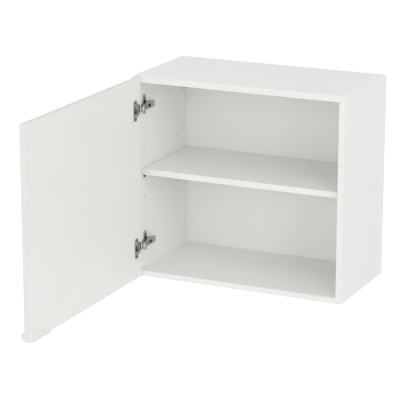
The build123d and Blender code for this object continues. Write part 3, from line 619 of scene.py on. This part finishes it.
def board_core(tree, given):
    """Mask of the chipboard core: what lies deeper than the facing from both faces of a board."""
    along = node_of(tree, "VectorMath", operation="DOT_PRODUCT")
    for socket, label in zip(along.inputs, ("Vector", "Across")):
        tree.links.new(given[label], socket)
    offset = math_node(tree, "SUBTRACT", along.outputs["Value"], given["Middle"])
    core = math_node(tree, "SUBTRACT", given["Half"], given["Facing"])
    return math_node(tree, "LESS_THAN", math_node(tree, "ABSOLUTE", offset), core)


def chips(tree, given):
    """Pressed chips, each of its own tone."""
    cells = node_of(tree, "TexVoronoi")
    tree.links.new(stretched(tree, given["Vector"], CHIP_STRETCH), cells.inputs["Vector"])
    tree.links.new(given["Scale"], cells.inputs["Scale"])
    tone = remap(tree, part_of(tree, cells.outputs["Color"], "X"), (0.0, 1.0), CHIP_TONES)
    return shaded(tree, given["Color"], tone)


# Effects that several materials share: how each is built, its inputs and its output
EFFECTS = {
    "Tone drift": (tone_drift, ("Vector", "Color", "Scale", "Amount"), "Color"),
    "Handling": (handling, ("Vector", "Roughness", "Spread", "Scale"), "Roughness"),
    "Pearl grain": (pearl_grain, ("Vector", "Scale"), "Height"),
    "Drawn lines": (drawn_lines, ("Vector", "Scale"), "Height"),
    "Board core": (board_core, ("Vector", "Across", "Middle", "Half", "Facing"), "Mask"),
    "Chips": (chips, ("Vector", "Color", "Scale"), "Color"),
}
SOCKET_KINDS = {"Vector": "Vector", "Across": "Vector", "Color": "Color"}


def effect_group(name):
    """Shader node group of an effect, built once."""
    if name in bpy.data.node_groups:
        return bpy.data.node_groups[name]
    build, inputs, output = EFFECTS[name]
    tree = bpy.data.node_groups.new(name, "ShaderNodeTree")
    for label, way in (*((label, "INPUT") for label in inputs), (output, "OUTPUT")):
        kind = "NodeSocket" + SOCKET_KINDS.get(label, "Float")
        tree.interface.new_socket(label, in_out=way, socket_type=kind)
    start = tree.nodes.new("NodeGroupInput")
    end = tree.nodes.new("NodeGroupOutput")
    tree.links.new(build(tree, start.outputs), end.inputs[output])
    return tree


class Finish:
    """A material under construction: its tree, Principled shader and object coordinates."""

    def __init__(self, name, metallic=0.0):
        self.material = bpy.data.materials.new(name)
        self.material.use_nodes = True
        self.tree = self.material.node_tree
        self.shader = self.tree.nodes["Principled BSDF"]
        self.place = node_of(self.tree, "TexCoord").outputs["Object"]
        self.shader.inputs["Metallic"].default_value = metallic

    def effect(self, name, **values):
        """Places an effect on the object coordinates and returns its output."""
        node = node_of(self.tree, "Group", node_tree=effect_group(name))
        self.tree.links.new(self.place, node.inputs["Vector"])
        for label, value in values.items():
            set_or_link(self.tree, node.inputs[label], value)
        return node.outputs[0]

    def tone(self, rgb, **drift):
        """A colour with a slow drift."""
        return self.effect("Tone drift", Color=(*rgb, 1.0), **drift)

    def set(self, label, value):
        """Links an output to one of the shader's inputs."""
        self.tree.links.new(value, self.shader.inputs[label])

    def relief(self, height, depth):
        """Bump of a given depth."""
        bump = node_of(self.tree, "Bump")
        bump.inputs["Strength"].default_value = 1.0
        bump.inputs["Distance"].default_value = depth
        self.tree.links.new(height, bump.inputs["Height"])
        self.set("Normal", bump.outputs["Normal"])


def faced_board(node, across):
    """Melamine facing with a fine pearl grain, over chipboard that shows where it is cut."""
    colours = bpy.context.scene.cabinet_finish
    low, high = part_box(node)
    finish = Finish("white_board_" + node)
    white = finish.tone(colours.board, Scale=6.0, Amount=0.018)
    bare = finish.effect("Chips", Color=(*colours.chipboard, 1.0), Scale=450.0)
    core = finish.effect(
        "Board core",
        Across=across,
        Middle=(low + high).dot(across) / 2,
        Half=(high - low).dot(across) / 2,
        Facing=bpy.context.scene.cabinet_detail.facing,
    )
    finish.set("Base Color", mixed(finish.tree, core, white, bare))
    satin = finish.effect("Handling", Roughness=0.46, Spread=0.16, Scale=9.0)
    finish.set("Roughness", with_share(finish.tree, satin, core, BARE_CORE))
    finish.relief(finish.effect("Pearl grain", Scale=900.0), depth=0.04 * MM)
    return finish.material


def white_edging(colours):
    """Smooth edge band: greyer than the facing in front, as painted shade that offsets the lamps' extra
    light on the front faces, and as white as the facing on the ends of the sides.
    """
    finish = Finish("white_edge_band")
    tree = finish.tree
    # Painted shade: the front bands take the greyer colour, the bands on the ends of the sides keep the
    # board's white
    front = finish.tone(colours.edging, Scale=10.0, Amount=0.012)
    end = finish.tone(colours.board, Scale=10.0, Amount=0.012)
    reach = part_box("carcass_edging")[1].z - bpy.context.scene.cabinet_detail.band
    height = math_node(tree, "ABSOLUTE", part_of(tree, finish.place, "Z"))
    finish.set("Base Color", mixed(tree, math_node(tree, "GREATER_THAN", height, reach), front, end))
    finish.set("Roughness", finish.effect("Handling", Roughness=0.36, Spread=0.14, Scale=30.0))
    finish.relief(finish.effect("Drawn lines", Scale=700.0), depth=0.02 * MM)
    return finish.material


def white_back(colours):
    """Hardboard: lacquered white on the room side, bare fibre on the wall side."""
    finish = Finish("white_back_hardboard")
    tree = finish.tree
    white = finish.tone(colours.back, Scale=5.0, Amount=0.02)
    bare = finish.tone(colours.hardboard, Scale=260.0, Amount=0.45)
    rear = remap(tree, part_of(tree, finish.place, "Y"), LACQUER_END, (0.0, 1.0))
    finish.set("Base Color", mixed(tree, rear, white, bare))
    lacquer = finish.effect("Handling", Roughness=0.5, Spread=0.14, Scale=8.0)
    finish.set("Roughness", with_share(tree, lacquer, rear, BARE_REAR))
    finish.relief(finish.effect("Pearl grain", Scale=600.0), depth=0.05 * MM)
    return finish.material


def zinc(colours):
    """Zinc plated steel: pale blue grey in soft spangles."""
    finish = Finish("zinc_plated_steel", metallic=1.0)
    cells = node_of(finish.tree, "TexVoronoi", feature="SMOOTH_F1")
    cells.inputs["Scale"].default_value = SPANGLE_SCALE
    finish.tree.links.new(finish.place, cells.inputs["Vector"])
    finish.set("Base Color", finish.tone(colours.zinc, Scale=150.0, Amount=0.18))
    rub = finish.effect("Handling", Roughness=0.34, Spread=0.2, Scale=200.0)
    finish.set("Roughness", with_share(finish.tree, rub, cells.outputs["Distance"], SPANGLE))
    finish.relief(finish.effect("Drawn lines", Scale=2600.0), depth=0.012 * MM)
    return finish.material


def beech(colours):
    """Beech: pale brown with short darker flecks along the dowel."""
    finish = Finish("bare_beech")
    tree = finish.tree
    grain = noise(tree, stretched(tree, finish.place, FLECK_STRETCH), scale=1500.0, detail=5.0)
    brown = finish.tone(colours.beech, Scale=90.0, Amount=0.2)
    finish.set("Base Color", shaded(tree, brown, remap(tree, grain, FLECK_RANGE, FLECK_TONES)))
    finish.set("Roughness", finish.effect("Handling", Roughness=0.7, Spread=0.15, Scale=200.0))
    finish.relief(grain, depth=0.06 * MM)
    return finish.material


FIGURED_FINISHES = {"white_edging": white_edging, "white_back": white_back, "zinc": zinc, "beech": beech}

# Finishes of one colour: slow drift of the tone, marks of handling, and a fine relief
PLAIN_FINISHES = {
    # Smooth edge band round the door, greyer than the carcass bands: painted shade on the door's edges
    "door_edging": {
        "name": "door_edge_band",
        "colour": "door_edging",
        "drift": {"Scale": 10.0, "Amount": 0.012},
        "rub": {"Roughness": 0.36, "Spread": 0.14, "Scale": 30.0},
        "grain": {"name": "Drawn lines", "Scale": 700.0},
        "depth": 0.02 * MM,
    },
    # Nickel plated pressings: soft rolled lines under a bright plating, dulled where it was handled
    "nickel_steel": {
        "name": "nickel_plated_steel",
        "colour": "nickel",
        "metallic": 1.0,
        "drift": {"Scale": 120.0, "Amount": 0.16},
        "rub": {"Roughness": 0.30, "Spread": 0.22, "Scale": 180.0},
        "grain": {"name": "Drawn lines", "Scale": 2200.0},
        "depth": 0.015 * MM,
    },
    # Nickel plated links, brighter than the pressings: a painted highlight for the light off their flat
    # faces
    "nickel_painted_highlight": {
        "name": "polished_nickel_steel",
        "colour": "nickel_painted_highlight",
        "metallic": 1.0,
        "drift": {"Scale": 120.0, "Amount": 0.08},
        "rub": {"Roughness": 0.2, "Spread": 0.12, "Scale": 180.0},
        "grain": {"name": "Drawn lines", "Scale": 2200.0},
        "depth": 0.008 * MM,
    },
    # Nickel plated screws, rougher than the pressings they hold, and darker as painted shade for the shadow
    # in and round their heads
    "nickel_painted_shade": {
        "name": "dull_nickel_steel",
        "colour": "nickel_painted_shade",
        "metallic": 1.0,
        "drift": {"Scale": 300.0, "Amount": 0.2},
        "rub": {"Roughness": 0.4, "Spread": 0.2, "Scale": 300.0},
        "grain": {"name": "Pearl grain", "Scale": 4000.0},
        "depth": 0.008 * MM,
    },
    # Black phosphated steel with a dry, slightly oily look
    "black_screw": {
        "name": "black_phosphated_steel",
        "colour": "black_steel",
        "metallic": 0.55,
        "drift": {"Scale": 400.0, "Amount": 0.4},
        "rub": {"Roughness": 0.48, "Spread": 0.25, "Scale": 300.0},
        "grain": {"name": "Pearl grain", "Scale": 5000.0},
        "depth": 0.01 * MM,
    },
    # Dull bare steel of the shelf supports
    "support_steel": {
        "name": "dull_support_steel",
        "colour": "support_steel",
        "metallic": 1.0,
        "drift": {"Scale": 220.0, "Amount": 0.3},
        "rub": {"Roughness": 0.42, "Spread": 0.25, "Scale": 220.0},
        "grain": {"name": "Drawn lines", "Scale": 1800.0},
        "depth": 0.02 * MM,
    },
    # Moulded plastic with a fine eroded texture and a satin sheen
    "handle_plastic": {
        "name": "white_handle_plastic",
        "colour": "handle",
        "drift": {"Scale": 25.0, "Amount": 0.015},
        "rub": {"Roughness": 0.34, "Spread": 0.18, "Scale": 40.0},
        "grain": {"name": "Pearl grain", "Scale": 1500.0},
        "depth": 0.03 * MM,
    },
    # Moulded plastic of the hangers, duller than the handle
    "hanger_plastic": {
        "name": "hanger_plastic",
        "colour": "hanger",
        "drift": {"Scale": 60.0, "Amount": 0.03},
        "rub": {"Roughness": 0.48, "Spread": 0.16, "Scale": 60.0},
        "grain": {"name": "Pearl grain", "Scale": 1800.0},
        "depth": 0.04 * MM,
    },
}
MADE = {}


def plain_material(rgb, name, drift, rub, grain, depth, metallic=0.0):
    """Material of a finish of one colour."""
    finish = Finish(name, metallic)
    finish.set("Base Color", finish.tone(rgb, **drift))
    finish.set("Roughness", finish.effect("Handling", **rub))
    finish.relief(finish.effect(**grain), depth)
    return finish.material


def material(finish):
    """The material of a finish, made once."""
    colours = bpy.context.scene.cabinet_finish
    if finish in MADE:
        return MADE[finish]
    if finish in FIGURED_FINISHES:
        MADE[finish] = FIGURED_FINISHES[finish](colours)
    else:
        values = dict(PLAIN_FINISHES[finish])
        MADE[finish] = plain_material(getattr(colours, values.pop("colour")), **values)
    return MADE[finish]


class CABINET_OT_boards(bpy.types.Operator):
    """Finish the boards, the shelf, the door and their edge bands"""

    bl_idname = "cabinet.boards"
    bl_label = "Boards and edging"

    def execute(self, context):
        for node in UPRIGHT_BOARDS:
            dress(node, faced_board(node, Vector((1, 0, 0))))
        for node in LEVEL_BOARDS:
            dress(node, faced_board(node, Vector((0, 0, 1))))
        for node, finish in EDGE_BANDS.items():
            dress(node, material(finish))
        return {"FINISHED"}


class CABINET_OT_back(bpy.types.Operator):
    """Finish the back panel and its nails"""

    bl_idname = "cabinet.back"
    bl_label = "Back panel"

    def execute(self, context):
        dress("back_panel", material("white_back"))
        dress("back_panel_nails", material("zinc"))
        return {"FINISHED"}


class CABINET_OT_corner_fittings(bpy.types.Operator):
    """Finish the cams, bolts and dowels of the corner joints"""

    bl_idname = "cabinet.corner_fittings"
    bl_label = "Corner fittings"

    def execute(self, context):
        eased_node("cam_housings", "carcass", "zinc", context.scene.cabinet_detail.pressed_edge)
        dress("cam_bolts", material("zinc"))
        dress("corner_dowels", material("beech"))
        return {"FINISHED"}


class CABINET_OT_shelf_supports(bpy.types.Operator):
    """Ease the bent edges of the shelf supports"""

    bl_idname = "cabinet.shelf_supports"
    bl_label = "Shelf supports"

    def execute(self, context):
        width = context.scene.cabinet_detail.fine_edge
        eased_node("shelf_supports", "carcass", "support_steel", width)
        return {"FINISHED"}


class CABINET_OT_hangers(bpy.types.Operator):
    """Mould the hanger bodies and ease their steel hooks"""

    bl_idname = "cabinet.hangers"
    bl_label = "Cabinet hangers"

    def execute(self, context):
        detail = context.scene.cabinet_detail
        for side in HANGER_SIDES:
            eased_node(side + "_hanger_body", "carcass", "hanger_plastic", detail.fine_edge)
            eased_node(side + "_hanger_hook", "carcass", "zinc", detail.pressed_edge)
        turned_screws("hanger_adjusting_screws", "carcass", "zinc", forwards, detail.machine_pitch)
        turned_screws("hanger_screws", "carcass", "zinc", towards_middle, detail.wood_pitch)
        return {"FINISHED"}


class CABINET_OT_hinges(bpy.types.Operator):
    """Press the hinge plates, arms, links and cups"""

    bl_idname = "cabinet.hinges"
    bl_label = "Hinges"

    def execute(self, context):
        detail = context.scene.cabinet_detail
        wide = detail.pressed_edge
        fine = detail.fine_edge
        for name, body, width, finish in (
            ("mounting_plate", "carcass", wide, None),
            ("hinge_arm", "carcass", wide, None),
            ("edge_link", "edge_links", fine, "nickel_painted_highlight"),
            ("fork_link", "fork_links", fine, "nickel_painted_highlight"),
            ("hinge_cup", "door", wide, None),
        ):
            upper = "upper_" + name
            lower = "lower_" + name
            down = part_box(lower)[0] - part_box(upper)[0]
            piece = eased_node(upper, body, "nickel_steel", width, finish)
            settle(moved_copy(piece, lower + "_eased", down), body, "nickel_steel", lower, finish)
        eased_node("closing_springs", "door", "nickel_steel", fine)
        for node in PIVOT_PINS:
            dress(node, material("nickel_steel"))
        for node, body, pitch in (
            ("cup_screws", "door", detail.wood_pitch),
            ("mounting_plate_screws", "carcass", detail.wood_pitch),
            ("overlay_screws", "carcass", detail.machine_pitch),
        ):
            turned_screws(node, body, "nickel_steel", towards_middle, pitch, "nickel_painted_shade")
        for node in ("arm_fixing_screws", "height_cams"):
            turned_screws(node, "carcass", "black_screw", towards_middle, detail.machine_pitch)
        return {"FINISHED"}


class CABINET_OT_handle(bpy.types.Operator):
    """Mould the handle that wraps the door's bottom edge"""

    bl_idname = "cabinet.handle"
    bl_label = "Handle"

    def execute(self, context):
        detail = context.scene.cabinet_detail
        eased_node("door_handle", "door", "handle_plastic", detail.moulded_edge)
        turned_screws("handle_screws", "door", "zinc", downwards, detail.wood_pitch)
        return {"FINISHED"}


def seen_directly(tree):
    """Mask of the rays that see a surface as background: straight, mirrored or through glass."""
    rays = node_of(tree, "LightPath").outputs
    mirrored = math_node(tree, "MAXIMUM", rays["Is Glossy Ray"], rays["Is Transmission Ray"])
    return math_node(tree, "MAXIMUM", rays["Is Camera Ray"], mirrored)


def mixed_shader(tree, factor, first, second):
    """Mix Shader node between two shaders."""
    node = node_of(tree, "MixShader")
    for socket, value in zip(node.inputs, (factor, first, second)):
        tree.links.new(value, socket)
    return node.outputs["Shader"]


def studio_world(sky):
    """Even light all round, seen as plain white."""
    world = bpy.data.worlds.new("Pale studio")
    world.use_nodes = True
    tree = world.node_tree
    light = tree.nodes["Background"]
    light.inputs["Color"].default_value = WHITE
    light.inputs["Strength"].default_value = sky
    white = node_of(tree, "Background")
    white.inputs["Color"].default_value = WHITE
    seen = mixed_shader(tree, seen_directly(tree), light.outputs["Background"], white.outputs["Background"])
    tree.links.new(seen, tree.nodes["World Output"].inputs["Surface"])
    bpy.context.scene.world = world


def floor_material(rgb, lift):
    """Pale floor that reads as white where it is lit, keeps a shadow and can't be seen from below."""
    made = bpy.data.materials.new("pale_floor")
    made.use_nodes = True
    tree = made.node_tree
    tree.nodes.remove(tree.nodes["Principled BSDF"])
    base = node_of(tree, "BsdfDiffuse")
    base.inputs["Color"].default_value = (*rgb, 1.0)
    glow = node_of(tree, "Emission")
    glow.inputs["Strength"].default_value = lift
    bright = node_of(tree, "AddShader")
    for socket, value in zip(bright.inputs, (base.outputs["BSDF"], glow.outputs["Emission"])):
        tree.links.new(value, socket)
    above = mixed_shader(tree, seen_directly(tree), base.outputs["BSDF"], bright.outputs["Shader"])
    below = node_of(tree, "BsdfTransparent").outputs["BSDF"]
    turned_away = node_of(tree, "NewGeometry").outputs["Backfacing"]
    both = mixed_shader(tree, turned_away, above, below)
    tree.links.new(both, tree.nodes["Material Output"].inputs["Surface"])
    return made


def viewpoint(aim, azimuth, elevation, distance):
    """Point at a distance from the aim, turned to the right of the front and raised."""
    level = math.cos(elevation) * distance
    offset = (level * math.sin(azimuth), -level * math.cos(azimuth), math.sin(elevation) * distance)
    return Vector(aim) + Vector(offset)


class CABINET_OT_studio(bpy.types.Operator):
    """Set the floor, the light and the camera"""

    bl_idname = "cabinet.studio"
    bl_label = "Studio"

    def execute(self, context):
        scene = context.scene
        studio = scene.cabinet_studio
        bpy.ops.object.select_all(action="DESELECT")
        bpy.ops.mesh.primitive_plane_add(size=studio.floor_size, location=(0, 0, studio.floor_level))
        floor = context.object
        floor.name = "studio_floor"
        floor.data.materials.append(floor_material(studio.floor_colour, studio.floor_lift))
        studio_world(studio.sky)
        aim = Vector(studio.aim)
        for name, (turn, rise) in LAMPS.items():
            spot = viewpoint(aim, math.radians(turn), math.radians(rise), studio.lamp_distance)
            bpy.ops.object.light_add(type="AREA", location=spot)
            lamp = context.object
            lamp.name = name
            lamp.data.size = studio.lamp_size
            lamp.data.energy = getattr(studio, name)
            lamp.rotation_euler = (aim - spot).to_track_quat("-Z", "Y").to_euler()
        turn = (math.pi / 2 - studio.elevation, 0, studio.azimuth)
        spot = viewpoint(aim, studio.azimuth, studio.elevation, studio.distance)
        bpy.ops.object.camera_add(location=spot, rotation=turn)
        camera = context.object
        camera.data.lens = studio.lens
        camera.data.clip_end = studio.floor_size
        scene.camera = camera
        scene.view_settings.view_transform = "Standard"
        return {"FINISHED"}


OPERATORS = (
    CABINET_OT_boards,
    CABINET_OT_back,
    CABINET_OT_corner_fittings,
    CABINET_OT_shelf_supports,
    CABINET_OT_hangers,
    CABINET_OT_hinges,
    CABINET_OT_handle,
    CABINET_OT_studio,
)
SETTINGS = {
    "cabinet_finish": CabinetFinish,
    "cabinet_detail": CabinetDetail,
    "cabinet_studio": CabinetStudio,
}


class CABINET_PT_panel(bpy.types.Panel):
    """Lists the cabinet's operators and settings"""

    bl_idname = "CABINET_PT_panel"
    bl_label = "Hanging wall cabinet"
    bl_space_type = "VIEW_3D"
    bl_region_type = "UI"
    bl_category = "Cabinet"

    def draw(self, context):
        for operator in OPERATORS:
            self.layout.operator(operator.bl_idname)
        for name, group in SETTINGS.items():
            box = self.layout.box()
            for key in group.__annotations__:
                box.prop(getattr(context.scene, name), key)


def register():
    """Adds the settings, the operators and the panel."""
    for kind in (*SETTINGS.values(), *OPERATORS, CABINET_PT_panel):
        bpy.utils.register_class(kind)
    for name, group in SETTINGS.items():
        setattr(bpy.types.Scene, name, PointerProperty(type=group))


def unregister():
    """Takes them away again."""
    for name in SETTINGS:
        delattr(bpy.types.Scene, name)
    for kind in (CABINET_PT_panel, *OPERATORS, *SETTINGS.values()):
        bpy.utils.unregister_class(kind)


def main():
    """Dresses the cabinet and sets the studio."""
    register()
    for operator in OPERATORS:
        family, name = operator.bl_idname.split(".")
        getattr(getattr(bpy.ops, family), name)()


if __name__ == "__main__":
    main()
